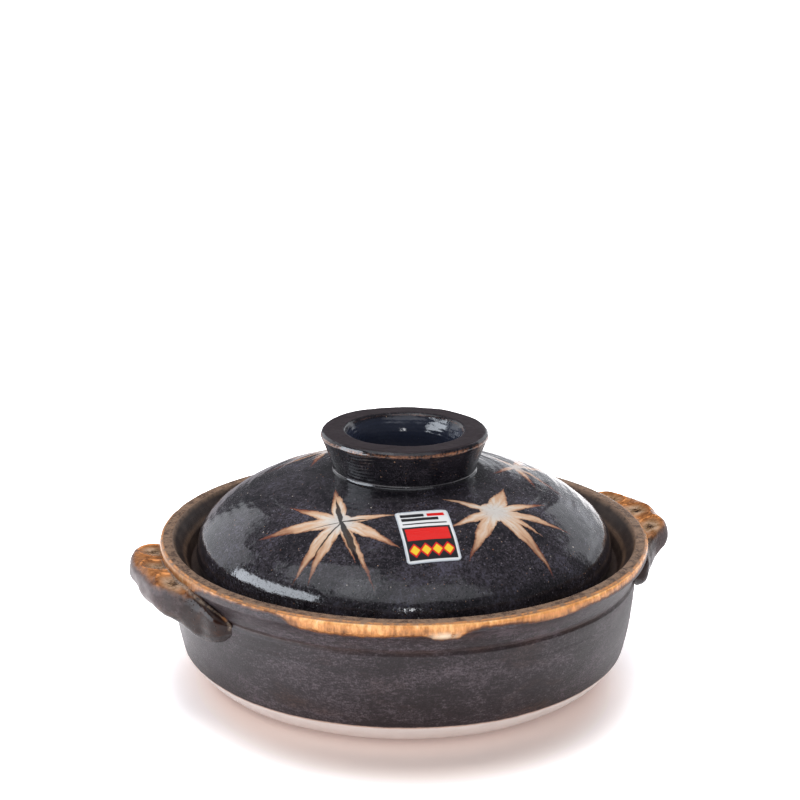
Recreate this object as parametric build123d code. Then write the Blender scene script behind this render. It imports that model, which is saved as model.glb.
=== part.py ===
from build123d import *
import os
from math import asin, atan2, cos, degrees, hypot, radians, sin

# A donabe: a wide clay pot with two thumb-pressed lugs and a domed lid whose knob is an open ring.
# Millimetres, +Z up. The origin is the centre of the foot, on the table.
# +X runs out through the right lug, and the label on the lid faces the -Y side.

# Pot, outside
rim_radius = 125.0
pot_height = 68.3
foot_set_in = 12.8
foot_ring_width = 8.0
foot_recess = 1.0
bare_clay_height = 12.2
bare_clay_set_in = 6.0
bare_clay_bow_depth = 1.5
glaze_step = 0.9
lip_overhang = 5.6
belly_bow_depth = 0.9
groove_height = 51.9
groove_depth = 1.5
groove_half_width = 1.3
lip_face_height = 5.0
lip_hollow = 0.8
rim_land = 6.7
rim_outer_round = 2.4
rim_inner_round = 1.2

# Pot, inside
glaze_break_set_in = 6.6
glaze_break_drop = 9.3
glaze_break_round = 1.5
ledge_drop = 14.3
ledge_set_in = 2.1
ledge_width = 10.6
ledge_thickness = 4.5
ledge_round = 1.5
under_ledge_rise = 7.5
pot_wall = 10.4
floor_thickness = 9.0
floor_curve_reach = 29.0

# Lid
lid_side_clearance = 4.6
lid_height = 49.8
lid_wall = 6.0
lid_rest_width = 5.2
lid_edge_tuck = 1.0
lid_edge_round = 1.2
steam_hole_radius = 3.5
steam_hole_from_knob = 26.2
steam_hole_azimuth = 71.0

# The dome's outside, from its top to its edge, as shares of the lid's radius and height
dome_radius_shares = (0.0, 0.298, 0.536, 0.655, 0.774, 0.869, 0.9405, 0.982, 1.0)
dome_height_shares = (1.0, 0.966, 0.866, 0.803, 0.705, 0.581, 0.454, 0.323, 0.213)

# Knob ring on the lid
knob_radius = 42.8
knob_neck_set_in = 6.8
knob_height = 18.2
knob_edge_height = 5.0
knob_neck_hollow = 1.6
knob_land = 12.8
knob_well_taper = 4.5
knob_well_bow_depth = 1.2
knob_outer_round = 2.6
knob_inner_round = 2.0
knob_root = 8.0

# Label on the lid
label_width = 25.6
label_length = 36.0
label_corner = 2.0
label_thickness = 0.35
label_shift_in = 0.9
label_azimuth = -100.3
label_turn_angle = 2.5

# Lugs: each spans an arc of the wall, and its front end hangs lower than its back end
lug_reach = 23.4
lug_half_angle = 31.0
lug_thickness = 12.0
lug_corner = 4.6
lug_top_drop = 3.4
lug_front_fall = 17.0
lug_back_fall = 9.0
lug_outward_fall = 5.0
lug_bury = 15.4
lug_shape_power = 3.0
lug_tip_depth = 4.0
lug_section_shares = (-1.0, -0.85, -0.6, -0.3, 0.0, 0.3, 0.6, 0.85, 1.0)
thumb_radius = 12.0
thumb_depth = 3.4
thumb_spacing = 21.0
thumb_inset = 11.5
thumb_count = 3

# How far a cutting tool runs past the face that it cuts
overrun = 20.0

lip_bottom_height = pot_height - lip_face_height
belly_height = groove_height - groove_half_width
ledge_height = pot_height - ledge_drop
lid_top = ledge_height + lid_height
knob_top = lid_top + knob_height
belly_radius = rim_radius - lip_overhang
bare_clay_radius = belly_radius - bare_clay_set_in
foot_radius = bare_clay_radius - foot_set_in
inner_wall_radius = belly_radius - pot_wall
floor_radius = inner_wall_radius - floor_curve_reach
rim_inner_radius = rim_radius - rim_land
glaze_break_radius = rim_inner_radius - glaze_break_set_in
ledge_outer_radius = glaze_break_radius - ledge_set_in
ledge_inner_radius = ledge_outer_radius - ledge_width
lid_radius = ledge_outer_radius - lid_side_clearance
lid_edge_radius = lid_radius - lid_edge_tuck
steam_hole_place_radius = knob_radius + steam_hole_from_knob
label_place_radius = (knob_radius + lid_radius) / 2 - label_shift_in
knob_neck_radius = knob_radius - knob_neck_set_in
knob_mouth_radius = knob_radius - knob_land
knob_well_radius = knob_mouth_radius - knob_well_taper
lug_nose_radius = belly_radius + lug_reach
lug_root_radius = belly_radius - lug_bury


def midpoint_pushed(start, end, push):
    """The middle of a chord, moved square to it: to the right of its direction by push."""
    run = (end[0] - start[0], end[1] - start[1])
    length = hypot(*run)
    middle = ((start[0] + end[0]) / 2, (start[1] + end[1]) / 2)
    return (middle[0] + push * run[1] / length, middle[1] - push * run[0] / length)


def bowed(start, end, push):
    """An arc between two profile points, bowed by push."""
    return ThreePointArc(start, midpoint_pushed(start, end, push), end)


def turned(outline, rounds=()):
    """Revolve a closed outline, drawn as (radius, height), after rounding its named corners."""
    face = make_face(Plane.XZ * outline)
    for corner, radius in rounds:
        place = Vector(corner[0], 0, corner[1])
        vertex = face.vertices().sort_by(lambda v: (Vector(v) - place).length)[0]
        face = fillet(vertex, radius)
    return revolve(face, Axis.Z)


# Pot

def pot_outline_outside():
    """The pot's outer wall from the foot's edge to the top of the rim, as curves."""
    foot = (foot_radius, 0)
    bevel_top = (bare_clay_radius, bare_clay_height)
    glaze_line = (bare_clay_radius + glaze_step, bare_clay_height + glaze_step)
    belly = (belly_radius, belly_height)
    groove = (belly_radius - groove_depth, groove_height)
    neck = (belly_radius, groove_height + groove_half_width)
    lip_bottom = (rim_radius, lip_bottom_height)
    rim_edge = (rim_radius, pot_height)
    return (
        bowed(foot, bevel_top, bare_clay_bow_depth)
        + Line(bevel_top, glaze_line)
        + bowed(glaze_line, belly, belly_bow_depth)
        + Polyline(belly, groove, neck)
        + bowed(neck, lip_bottom, -lip_hollow)
        + Line(lip_bottom, rim_edge)
    )


def make_pot_solid():
    """The pot as if it were filled in, to cut whatever is luted onto its wall."""
    rim_edge = (rim_radius, pot_height)
    outline = pot_outline_outside() + Polyline(rim_edge, (0, pot_height), (0, 0), (foot_radius, 0))
    return turned(outline, [(rim_edge, rim_outer_round)])


def make_pot_body():
    """The wide bowl: foot ring, wall, rim, and the ledge inside the rim that carries the lid."""
    foot_inner_radius = foot_radius - foot_ring_width
    rim_edge = (rim_radius, pot_height)
    rim_inner = (rim_inner_radius, pot_height)
    glaze_break = (glaze_break_radius, pot_height - glaze_break_drop)
    ledge_corner = (ledge_outer_radius, ledge_height)
    ledge_nose = (ledge_inner_radius, ledge_height)
    ledge_under = (ledge_inner_radius, ledge_height - ledge_thickness)
    shoulder = (inner_wall_radius, ledge_under[1] - under_ledge_rise)
    floor_edge = (floor_radius, floor_thickness)
    recess_edge = (foot_inner_radius, foot_recess)
    foot_inner = (foot_inner_radius, 0)
    inside = (
        Polyline(rim_edge, rim_inner, glaze_break, ledge_corner, ledge_nose, ledge_under, shoulder)
        + Spline(shoulder, floor_edge, tangents=[(0, -1), (-1, 0)])
        + Polyline(floor_edge, (0, floor_thickness), (0, foot_recess), recess_edge)
        + Polyline(recess_edge, foot_inner, (foot_radius, 0))
    )
    rounds = [
        (rim_edge, rim_outer_round),
        (rim_inner, rim_inner_round),
        (glaze_break, glaze_break_round),
        (ledge_nose, ledge_round),
        (ledge_under, ledge_round),
    ]
    return turned(pot_outline_outside() + inside, rounds)


# Lugs

def lug_top(share):
    """The height of the right lug's top, from its front end at -1 to its back end at 1."""
    fall = lug_front_fall if share < 0 else lug_back_fall
    return pot_height - lug_top_drop - fall * share ** 2


def lug_section(share):
    """One slice of the right lug, square to the wall, that leans outwards and down."""
    azimuth = share * lug_half_angle
    swell = 1 - abs(share) ** lug_shape_power
    tip_radius = belly_radius - lug_tip_depth
    nose_radius = tip_radius + (lug_nose_radius - tip_radius) * swell
    lean = -degrees(asin(lug_outward_fall / (lug_nose_radius - lug_root_radius)))
    place = Plane(
        origin=(0, 0, 0),
        x_dir=(cos(radians(azimuth)), sin(radians(azimuth)), 0),
        z_dir=(sin(radians(azimuth)), -cos(radians(azimuth)), 0),
    )
    middle = ((lug_root_radius + nose_radius) / 2, lug_top(share) - lug_thickness / 2, 0)
    outline = RectangleRounded(nose_radius - lug_root_radius, lug_thickness, lug_corner)
    return place * Location(middle, (0, 0, lean)) * outline


def thumb_press(index):
    """The ball that presses one thumb mark into the right lug's top."""
    place_radius = lug_nose_radius - thumb_inset
    turn = thumb_spacing / place_radius * (index - (thumb_count - 1) / 2)
    top = lug_top(degrees(turn) / lug_half_angle)
    centre = (place_radius * cos(turn), place_radius * sin(turn), top + thumb_radius - thumb_depth)
    return Location(centre) * Sphere(thumb_radius)


def make_lug(pot_solid):
    """The right lug: a swelling crescent with thumb marks, cut to lie flush on the pot's wall."""
    lug = loft([lug_section(share) for share in lug_section_shares])
    for index in range(thumb_count):
        lug -= thumb_press(index)
    outside = lug - pot_solid
    return outside.solids().sort_by(SortBy.VOLUME)[-1]


# Lid

def dome_points(radius, height):
    """The dome's profile points for a given edge radius and height above the ledge."""
    pairs = zip(dome_radius_shares, dome_height_shares)
    return [(radius * across, ledge_height + height * up) for across, up in pairs]


def dome_outside():
    """The dome's outer profile, from the axis down to its edge on the ledge."""
    points = dome_points(lid_radius, lid_height) + [(lid_edge_radius, ledge_height)]
    return Spline(*points, tangents=[(1, 0), (0, -1)])


def make_dome_solid():
    """The lid as if it were filled in, to cut whatever is luted or stuck onto it."""
    outline = dome_outside() + Polyline((lid_edge_radius, ledge_height), (0, ledge_height), (0, lid_top))
    return turned(outline)


def dome_at(radius):
    """The height of the dome's outside at a radius, and how far it leans out there, in degrees."""
    profile = dome_outside().edge()
    low, high = 0.0, 1.0
    for halving in range(40):
        middle = (low + high) / 2
        if profile.position_at(middle).X < radius:
            low = middle
        else:
            high = middle
    tangent = profile.tangent_at(low)
    return profile.position_at(low).Y, degrees(atan2(-tangent.Y, tangent.X))


def on_dome(radius, azimuth, turn=0):
    """The place square to the dome's outside at a radius and azimuth, its X axis running round the lid."""
    height, lean = dome_at(radius)
    face_azimuth = Location((0, 0, 0), (0, 0, azimuth + 90))
    lean_out = Location((0, -radius, height), (lean, 0, 0))
    return face_azimuth * lean_out * Location((0, 0, 0), (0, 0, turn))


def make_lid_shell():
    """The domed lid with its flat resting edge and its steam hole."""
    inner_radius = lid_edge_radius - lid_rest_width
    inner_edge = (inner_radius, ledge_height)
    inside_points = dome_points(inner_radius, lid_height - lid_wall)[::-1]
    outline = (
        dome_outside()
        + Line((lid_edge_radius, ledge_height), inner_edge)
        + Spline(inner_edge, *inside_points, tangents=[(0, 1), (-1, 0)])
        + Line((0, lid_top - lid_wall), (0, lid_top))
    )
    shell = turned(outline, [((lid_edge_radius, ledge_height), lid_edge_round)])
    drill = on_dome(steam_hole_place_radius, steam_hole_azimuth) * Cylinder(steam_hole_radius, 2 * overrun)
    return shell - drill


def make_lid_knob(dome_solid):
    """The open ring on top of the lid, which is its knob and, upside down, its foot."""
    root_height = lid_top - knob_root
    shoulder_height = knob_top - knob_edge_height
    neck = (knob_neck_radius, root_height)
    shoulder = (knob_radius, shoulder_height)
    outer_edge = (knob_radius, knob_top)
    mouth = (knob_mouth_radius, knob_top)
    well = (knob_well_radius, root_height)
    outline = (
        bowed(neck, shoulder, -knob_neck_hollow)
        + Polyline(shoulder, outer_edge, mouth)
        + bowed(mouth, well, knob_well_bow_depth)
        + Line(well, neck)
    )
    ring = turned(outline, [(outer_edge, knob_outer_round), (mouth, knob_inner_round)])
    return ring - dome_solid


def make_label(dome_solid):
    """The paper label, a thin skin that follows the dome."""
    place = on_dome(label_place_radius, label_azimuth, label_turn_angle)
    outward = place.position - (place * Location((0, 0, -label_thickness))).position
    block = extrude(place * RectangleRounded(label_width, label_length, label_corner), overrun / 2, both=True)
    return (block & (Location(outward) * dome_solid)) - dome_solid


# The set

def main():
    os.makedirs("parts", exist_ok=True)
    pot_solid = make_pot_solid()
    dome_solid = make_dome_solid()
    right_lug = make_lug(pot_solid)
    nodes = {
        "pot_body": make_pot_body(),
        "handle_right": right_lug,
        "handle_left": mirror(right_lug, Plane.YZ),
        "lid_shell": make_lid_shell(),
        "lid_knob": make_lid_knob(dome_solid),
        "label_sticker": make_label(dome_solid),
    }
    for name, shape in nodes.items():
        export_step(shape, f"parts/{name}.step")
        box = shape.bounding_box()
        print(name, len(shape.solids()), "solid,", round(shape.volume), "mm3,", box.min, box.max)


main()
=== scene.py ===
from math import atan2, ceil, cos, degrees, pi, radians, sin, tau

import bmesh
import bpy
import numpy as np
from mathutils import Matrix, Vector


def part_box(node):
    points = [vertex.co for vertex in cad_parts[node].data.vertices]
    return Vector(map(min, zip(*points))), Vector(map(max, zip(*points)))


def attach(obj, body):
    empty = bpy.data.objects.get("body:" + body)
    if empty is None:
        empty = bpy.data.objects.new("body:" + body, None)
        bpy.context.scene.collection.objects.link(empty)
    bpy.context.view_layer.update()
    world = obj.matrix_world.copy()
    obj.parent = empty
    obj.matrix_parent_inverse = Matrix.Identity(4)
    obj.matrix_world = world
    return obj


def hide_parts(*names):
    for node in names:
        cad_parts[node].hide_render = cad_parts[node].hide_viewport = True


# A donabe: the looks of a wide clay pot with two thumb-pressed lugs and a domed lid with a ring knob.
# Lengths are in millimetres up to the point where a mesh is made, and materials read them so too.

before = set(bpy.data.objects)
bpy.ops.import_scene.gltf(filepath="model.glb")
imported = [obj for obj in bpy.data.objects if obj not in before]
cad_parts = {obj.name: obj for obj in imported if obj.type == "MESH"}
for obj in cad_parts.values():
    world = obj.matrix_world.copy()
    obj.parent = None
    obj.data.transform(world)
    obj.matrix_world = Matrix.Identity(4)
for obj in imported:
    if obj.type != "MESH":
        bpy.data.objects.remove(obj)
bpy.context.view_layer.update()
mm = 0.001


def node_box(node):
    """Lowest and highest corner of a solid, in millimetres."""
    low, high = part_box(node)
    return low / mm, high / mm


# Sizes that the solids give
pot_high = node_box("pot_body")[1]
lid_low, lid_high = node_box("lid_shell")
knob_high = node_box("lid_knob")[1]
rim_radius = pot_high.x
pot_height = pot_high.z
ledge_height = lid_low.z
lid_top = lid_high.z
knob_top = knob_high.z
knob_radius = knob_high.x

# Pot, outside
foot_ring_width = 8.0
foot_recess = 1.0
bare_clay_height = 12.2
bare_clay_set_in = 6.0
bare_clay_bow = 1.5
foot_set_in = 12.8
foot_edge_round = 0.6
glaze_step = 0.9
lip_overhang = 5.6
belly_bow = 0.9
groove_height = 51.9
groove_depth = 0.9
groove_half_width = 1.7
lip_face_height = 5.0
lip_hollow = 0.8
rim_land = 6.7
rim_outer_round = 2.4
rim_inner_round = 1.2

# Pot, inside
glaze_break_set_in = 6.6
glaze_break_drop = 9.3
glaze_break_round = 1.5
ledge_set_in = 2.1
ledge_width = 10.6
ledge_thickness = 4.5
ledge_round = 1.5
under_ledge_rise = 7.5
pot_wall = 10.4
floor_thickness = 9.0
floor_curve_reach = 29.0

# Lid
lid_side_clearance = 3.2
lid_wall = 6.0
lid_rest_width = 5.2
lid_edge_tuck = 1.0
lid_edge_round = 1.2
steam_hole_radius = 3.5
steam_hole_from_knob = 26.2
steam_hole_azimuth = 71.0
dome_radius_shares = (0.0, 0.294, 0.529, 0.646, 0.764, 0.858, 0.9305, 0.9756, 0.9934, 1.0)
dome_height_shares = (1.0, 0.966, 0.866, 0.803, 0.705, 0.581, 0.454, 0.323, 0.211, 0.11)

# Knob
knob_neck_set_in = 6.8
knob_edge_height = 2.7
knob_neck_hollow = 0.4
knob_land = 12.8
knob_well_taper = 4.5
knob_well_bow = 1.2
knob_outer_round = 2.2
knob_inner_round = 2.0
knob_sink = 1.0

# Label
label_width = 25.6
label_length = 36.0
label_corner = 2.0
label_thickness = 0.3
label_shift_in = 0.9
label_azimuth = -100.3
label_turn = 2.5

# Lugs. Places are in degrees from a lug's middle, positive to the front, with the form at each in millimetres
lug_places = (-36, -30, -22, -14, -6, 2, 9, 15, 20, 25, 30, 33)
lug_reaches = (0, 6.3, 12.4, 17.8, 20.5, 21, 19.6, 18.6, 11.5, 7, 5, 0)
lug_top_drops = (25, 20, 14.7, 8.6, 7, 5, 3.3, 3, 3.5, 7.5, 12, 15.5)
lug_thicknesses = (9, 12.5, 11.6, 11, 11.2, 13.4, 17, 18.6, 20.5, 19.8, 12, 3)
lug_rise = 0.195
lug_bury = 1.8

# What differs between the right lug, 1, and the left one, -1: how far it is turned back and lifted, where
# the painted grey reflection on its edge ends at the front, how strongly its glaze mirrors, and how pale its
# crease is
lug_turned_back = {1: 0.0, -1: 4.0}
lug_lift = {1: 2.6, -1: -2.5}
lug_reflection_end = {1: 13.0, -1: 19.5}
lug_shine = {1: 0.05, -1: 0.19}
lug_crease = {1: 0.25, -1: 0.85}

# Thumb marks on the lugs
thumb_places = (-9.0, 4.0, 16.0)
thumb_radius = 128.4
thumb_half_length = 11.5
thumb_half_width = 7.4
thumb_depth = 2.1

# How many points go once round each turned piece, and how many along and round a lug
pot_segments, lid_segments, knob_segments = 400, 440, 320
lug_stations, lug_around = 220, 120

# Radii that follow from the sizes
belly_radius = rim_radius - lip_overhang
bare_clay_radius = belly_radius - bare_clay_set_in
foot_radius = bare_clay_radius - foot_set_in
inner_wall_radius = belly_radius - pot_wall
rim_inner_radius = rim_radius - rim_land
glaze_break_radius = rim_inner_radius - glaze_break_set_in
ledge_outer_radius = glaze_break_radius - ledge_set_in
ledge_inner_radius = ledge_outer_radius - ledge_width
lid_radius = ledge_outer_radius - lid_side_clearance
lid_edge_radius = lid_radius - lid_edge_tuck
lid_height = lid_top - ledge_height
lug_root_radius = belly_radius - lug_bury


# Meshes

def waves(points, wavelength, seed, count=14):
    """Smooth unevenness of about -1 to 1 at each point: seeded plane waves near one wavelength, added up."""
    draw = np.random.default_rng(seed)
    total = np.zeros(points.shape[:-1])
    for wave in range(count):
        direction = draw.normal(size=3)
        direction *= tau / (wavelength * draw.uniform(0.7, 1.5) * np.linalg.norm(direction))
        total += np.sin(points @ direction + draw.uniform(0, tau))
    return total / np.sqrt(count)


def smooth_step(low, high, value):
    """0 below low, 1 above high, with a smooth turn between them."""
    share = np.clip((value - low) / (high - low), 0, 1)
    return share * share * (3 - 2 * share)


def bump_at(value, middle, half_width):
    """1 at the middle, falling smoothly to nothing at about two half widths."""
    return np.exp(-((value - middle) / half_width) ** 2)


def rounded_outline(corners):
    """Points along an outline of corners (radius, height, rounding, bow, step).

    Bow pushes the middle of the run after the corner to the right, and step is the spacing on that run."""
    places = [np.array(corner[:2], float) for corner in corners]
    last = len(corners) - 1
    points = []
    run_start = places[0]
    for index in range(last):
        rounding = corners[index + 1][2]
        bow, step = corners[index][3:]
        start, corner = run_start, places[index + 1]
        arc = []
        if rounding and index + 1 < last:
            back = (start - corner) / np.linalg.norm(start - corner)
            ahead = places[index + 2] - corner
            ahead /= np.linalg.norm(ahead)
            half_turn = np.arccos(np.clip(back @ ahead, -1, 1)) / 2
            reach = rounding / np.tan(half_turn)
            centre = corner + (back + ahead) / np.linalg.norm(back + ahead) * rounding / np.sin(half_turn)
            first, final = corner + back * reach, corner + ahead * reach
            turn = pi - 2 * half_turn
            for share in np.linspace(0, 1, max(4, ceil(turn * rounding / step) + 1)):
                leaving = np.sin((1 - share) * turn) * (first - centre)
                arriving = np.sin(share * turn) * (final - centre)
                arc.append(centre + (leaving + arriving) / np.sin(turn))
            end = first
        else:
            end = corner
        run = end - start
        length = np.linalg.norm(run)
        aside = np.array([run[1], -run[0]]) / max(length, 1e-9)
        count = max(1, ceil(length / step))
        shares = np.arange(count) / count
        points += [start + run * share + aside * bow * 4 * share * (1 - share) for share in shares]
        points += arc[:-1]
        run_start = arc[-1] if arc else corner
    return np.array(points + [places[-1]])


def smooth_line(places, values, wanted):
    """A smooth curve through values at places, read at the wanted places. Slopes come from the neighbours."""
    places, values = np.array(places, float), np.array(values, float)
    slopes = np.gradient(values, places)
    index = np.clip(np.searchsorted(places, wanted) - 1, 0, len(places) - 2)
    length = places[index + 1] - places[index]
    share = (wanted - places[index]) / length
    ease = share * share * (3 - 2 * share)
    leave = slopes[index] * share * (1 - share) ** 2
    arrive = slopes[index + 1] * share * share * (share - 1)
    return values[index] * (1 - ease) + values[index + 1] * ease + (leave + arrive) * length


def turned_grid(outline, segments, shift):
    """Points of an outline turned about the Z axis, moved square to the surface by shift(points)."""
    tangent = np.gradient(outline, axis=0)
    tangent /= np.linalg.norm(tangent, axis=1, keepdims=True)
    azimuths = np.arange(segments) * tau / segments
    cosines, sines = np.cos(azimuths), np.sin(azimuths)

    def placed(radius, height):
        return np.stack([radius * cosines, radius * sines, height + 0 * cosines], axis=-1)

    rest = placed(outline[:, :1], outline[:, 1:])
    offset = np.where(outline[:, :1] < 1e-6, 0, shift(rest))
    return placed(outline[:, :1] + tangent[:, 1:] * offset, outline[:, 1:] - tangent[:, :1] * offset)


def mesh_from(name, points, faces, smooth_angle=50):
    """A mesh object from points in millimetres, shaded smooth except at sharp turns."""
    mesh = bpy.data.meshes.new(name)
    mesh.from_pydata((np.asarray(points) * mm).tolist(), [], faces)
    mesh.validate()
    turning = bmesh.new()
    turning.from_mesh(mesh)
    bmesh.ops.recalc_face_normals(turning, faces=turning.faces)
    turning.to_mesh(mesh)
    turning.free()
    mesh.shade_smooth()
    mesh.set_sharp_from_angle(angle=radians(smooth_angle))
    piece = bpy.data.objects.new(name, mesh)
    bpy.context.scene.collection.objects.link(piece)
    return piece


def mesh_of_rings(name, grid, closed_loop=False):
    """A mesh from rings of points, one row each. A row on the Z axis becomes one point.

    With closed_loop the last ring joins the first; otherwise an end row off the axis is filled by a fan."""
    rows, columns = grid.shape[:2]
    points = []
    ids = np.zeros((rows, columns), int)
    for row in range(rows):
        if np.hypot(grid[row, :, 0], grid[row, :, 1]).max() < 1e-6:
            ids[row] = len(points)
            points.append(grid[row, 0])
        else:
            ids[row] = len(points) + np.arange(columns)
            points.extend(grid[row])
    pairs = [(row, row + 1) for row in range(rows - 1)]
    if closed_loop:
        pairs.append((rows - 1, 0))
    faces = []
    for low, high in pairs:
        here, there = ids[low], ids[high]
        beside, across = np.roll(here, -1), np.roll(there, -1)
        for corner in zip(here.tolist(), beside.tolist(), across.tolist(), there.tolist()):
            face = tuple(dict.fromkeys(corner))
            if len(face) > 2:
                faces.append(face)
    if not closed_loop:
        for row, order in ((0, -1), (rows - 1, 1)):
            if len(set(ids[row].tolist())) > 1:
                middle = len(points)
                points.append(grid[row].mean(axis=0))
                ring = ids[row].tolist()[::order]
                faces += [(first, second, middle) for first, second in zip(ring, ring[1:] + ring[:1])]
    return mesh_from(name, np.array(points), faces)


def dome_profile(radius, height, spacing):
    """The lid's outer profile from its top down to its edge, for a radius and a height above the ledge."""
    across = radius * np.array(dome_radius_shares)
    up = ledge_height + height * np.array(dome_height_shares)
    along = np.concatenate([[0], np.cumsum(np.hypot(np.diff(across), np.diff(up)))])
    wanted = np.linspace(0, along[-1], ceil(along[-1] / spacing))
    profile = np.stack([smooth_line(along, across, wanted), smooth_line(along, up, wanted)], axis=1)
    profile[0] = (0, up[0])
    return profile


dome_line = dome_profile(lid_radius, lid_height, 0.5)


def dome_height_at(radius):
    """The height of the dome's outside at a radius."""
    return np.interp(radius, dome_line[:, 0], dome_line[:, 1])


# Pot

def wall_shift(points):
    """How far the pot's surface stands off its outline: throwing ridges, slow unevenness, faint cut lines."""
    ridge_pitch, ridge_height, scratch_height = 5.2, 0.10, 43.4
    radius = np.hypot(points[..., 0], points[..., 1])
    azimuths = np.arctan2(points[..., 1], points[..., 0])
    height = points[..., 2]
    outside = smooth_step(bare_clay_radius, belly_radius - groove_depth, radius)
    outside *= smooth_step(pot_height, pot_height - lip_face_height, height)
    spiral = np.sin(tau * height / ridge_pitch + azimuths + 2.2 * waves(points, 90, 3))
    ridges = ridge_height * spiral * outside * smooth_step(-0.6, 1.2, waves(points, 70, 4))
    slow = 0.28 * waves(points * (1, 1, 1.6), 75, 5)
    fine = 0.035 * waves(points, 9, 6)
    front = smooth_step(0.2, 0.9, np.cos(azimuths + radians(115)))
    scratch = -0.28 * outside * front * bump_at(height, scratch_height + 0.5 * np.sin(azimuths * 3), 0.5)
    brim = smooth_step(pot_height - 1.5, pot_height, height)
    bites = -0.25 * brim * smooth_step(1.1, 1.9, waves(points, 13, 7))
    return ridges + slow * (1 - 0.6 * brim) + fine + scratch + bites


def make_pot():
    """The pot: foot, wall, groove, rim, gallery and the hollow inside, in one turned skin."""
    foot_inner = foot_radius - foot_ring_width
    under_ledge = ledge_height - ledge_thickness
    shoulder = (inner_wall_radius, under_ledge - under_ledge_rise)
    floor_edge = (inner_wall_radius - floor_curve_reach, floor_thickness)
    belly_height = groove_height - groove_half_width
    lip_bottom = pot_height - lip_face_height
    fine, middling, coarse = 0.55, 1.4, 5.0
    corners = [
        (0, foot_recess, 0, 0, 18),
        (foot_inner, foot_recess, 0, 0, 1),
        (foot_inner, 0, foot_edge_round, 0, 2),
        (foot_radius, 0, foot_edge_round, bare_clay_bow, 0.9),
        (bare_clay_radius, bare_clay_height, 0.2, 0, 0.2),
        (bare_clay_radius + glaze_step, bare_clay_height + glaze_step, 0.5, belly_bow, 0.8),
        (belly_radius, belly_height, 1.0, 0, fine),
        (belly_radius - groove_depth, groove_height, 0.5, 0, fine),
        (belly_radius, groove_height + groove_half_width, 1.0, -lip_hollow, fine),
        (rim_radius, lip_bottom, 1.6, 0, fine),
        (rim_radius, pot_height, rim_outer_round, 0, fine),
        (rim_inner_radius, pot_height, rim_inner_round, 0, 0.8),
        (glaze_break_radius, pot_height - glaze_break_drop, glaze_break_round, 0, 0.8),
        (ledge_outer_radius, ledge_height, 0.8, 0, middling),
        (ledge_inner_radius, ledge_height, ledge_round, 0, middling),
        (ledge_inner_radius, under_ledge, ledge_round, 0, middling),
        (*shoulder, 0, 0, middling),
    ]
    upper = rounded_outline(corners)
    run = np.linspace(0, 1, 26)[1:]
    quarter = np.stack([
        floor_edge[0] + (shoulder[0] - floor_edge[0]) * np.cos(run * pi / 2) ** 0.75,
        shoulder[1] - (shoulder[1] - floor_edge[1]) * np.sin(run * pi / 2) ** 1.1,
    ], axis=1)
    floor = rounded_outline([(*floor_edge, 0, 0, 3 * coarse), (0, floor_thickness, 0, 0, coarse)])[1:]
    outline = np.concatenate([upper, quarter, floor])
    return mesh_of_rings("pot_skin", turned_grid(outline, pot_segments, wall_shift))


# Lugs

def wall_radius_at(height):
    """The radius of the pot's outside beside the lugs, where the wall flares out to the lip."""
    neck = groove_height + groove_half_width
    return np.interp(height, (neck, pot_height - lip_face_height), (belly_radius, rim_radius))


def thumb_distance(place, radius):
    """How far a spot on a lug is from its nearest thumb mark's middle, 1 at the mark's brim."""
    nearest = 99.0
    for thumb_place in thumb_places:
        along = radians(1) * (place - thumb_place) * thumb_radius / thumb_half_length
        nearest = np.minimum(nearest, np.hypot(along, (radius - thumb_radius) / thumb_half_width))
    return nearest


def make_lug(side):
    """A lug luted on the wall, right for 1 and left for -1: a thick rolled ear with three pressed thumb
    marks, and a heavy roll that runs down along the wall at its front end."""
    places = np.linspace(lug_places[0], lug_places[-1], lug_stations)[:, None]
    angle = np.linspace(0, tau, lug_around, endpoint=False)[None, :]
    outward, upward = np.cos(angle) + 0 * places, np.sin(angle) + 0 * places
    nose_radius = belly_radius + smooth_line(lug_places, lug_reaches, places)
    top = pot_height - smooth_line(lug_places, lug_top_drops, places) + lug_lift[side]
    thickness = smooth_line(lug_places, lug_thicknesses, places)
    middle, half_length = (nose_radius + lug_root_radius) / 2, (nose_radius - lug_root_radius) / 2
    radius = middle + half_length * np.sign(outward) * np.abs(outward) ** 0.85
    height = top - thickness / 2 + thickness / 2 * np.sign(upward) * np.abs(upward) ** 0.8
    height += lug_rise * (radius - lug_root_radius)
    distance = thumb_distance(places, radius)
    press = thumb_depth * bump_at(distance, 0, 0.66) * smooth_step(0.9, 0.45, outward)
    press -= 0.5 * bump_at(distance, 1.04, 0.10) * smooth_step(0.8, 0.5, np.abs(outward))
    height -= press * smooth_step(0.0, 0.7, upward)
    from_wall = np.clip(radius - wall_radius_at(height), 0, None)
    height += 1.0 * np.exp(-from_wall / 1.3) * np.sign(upward) * smooth_step(0, 0.3, np.abs(upward))
    highest = pot_height - 1.6 + np.clip(radius - rim_radius - 0.5, 0, None) * 0.5
    height = np.minimum(height, highest)
    azimuth = radians(1) * (lug_turned_back[side] - places)
    spot = np.stack([radius * np.cos(azimuth), radius * np.sin(azimuth), height], axis=-1)
    uneven = 0.40 * waves(spot, 20, 11) + 0.10 * waves(spot, 6, 12)
    radius = radius + uneven * outward
    height = height + uneven * upward
    grid = np.stack([side * radius * np.cos(azimuth), radius * np.sin(azimuth), height], axis=-1)
    lug = mesh_of_rings("lug_right" if side > 0 else "lug_left", grid)
    for name, values in (("outward", outward), ("upward", upward)):
        layer = lug.data.attributes.new(name, "FLOAT", "POINT")
        layer.data.foreach_set("value", np.concatenate([values.ravel(), (0.0, 0.0)]))
    return lug


# Lid

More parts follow.
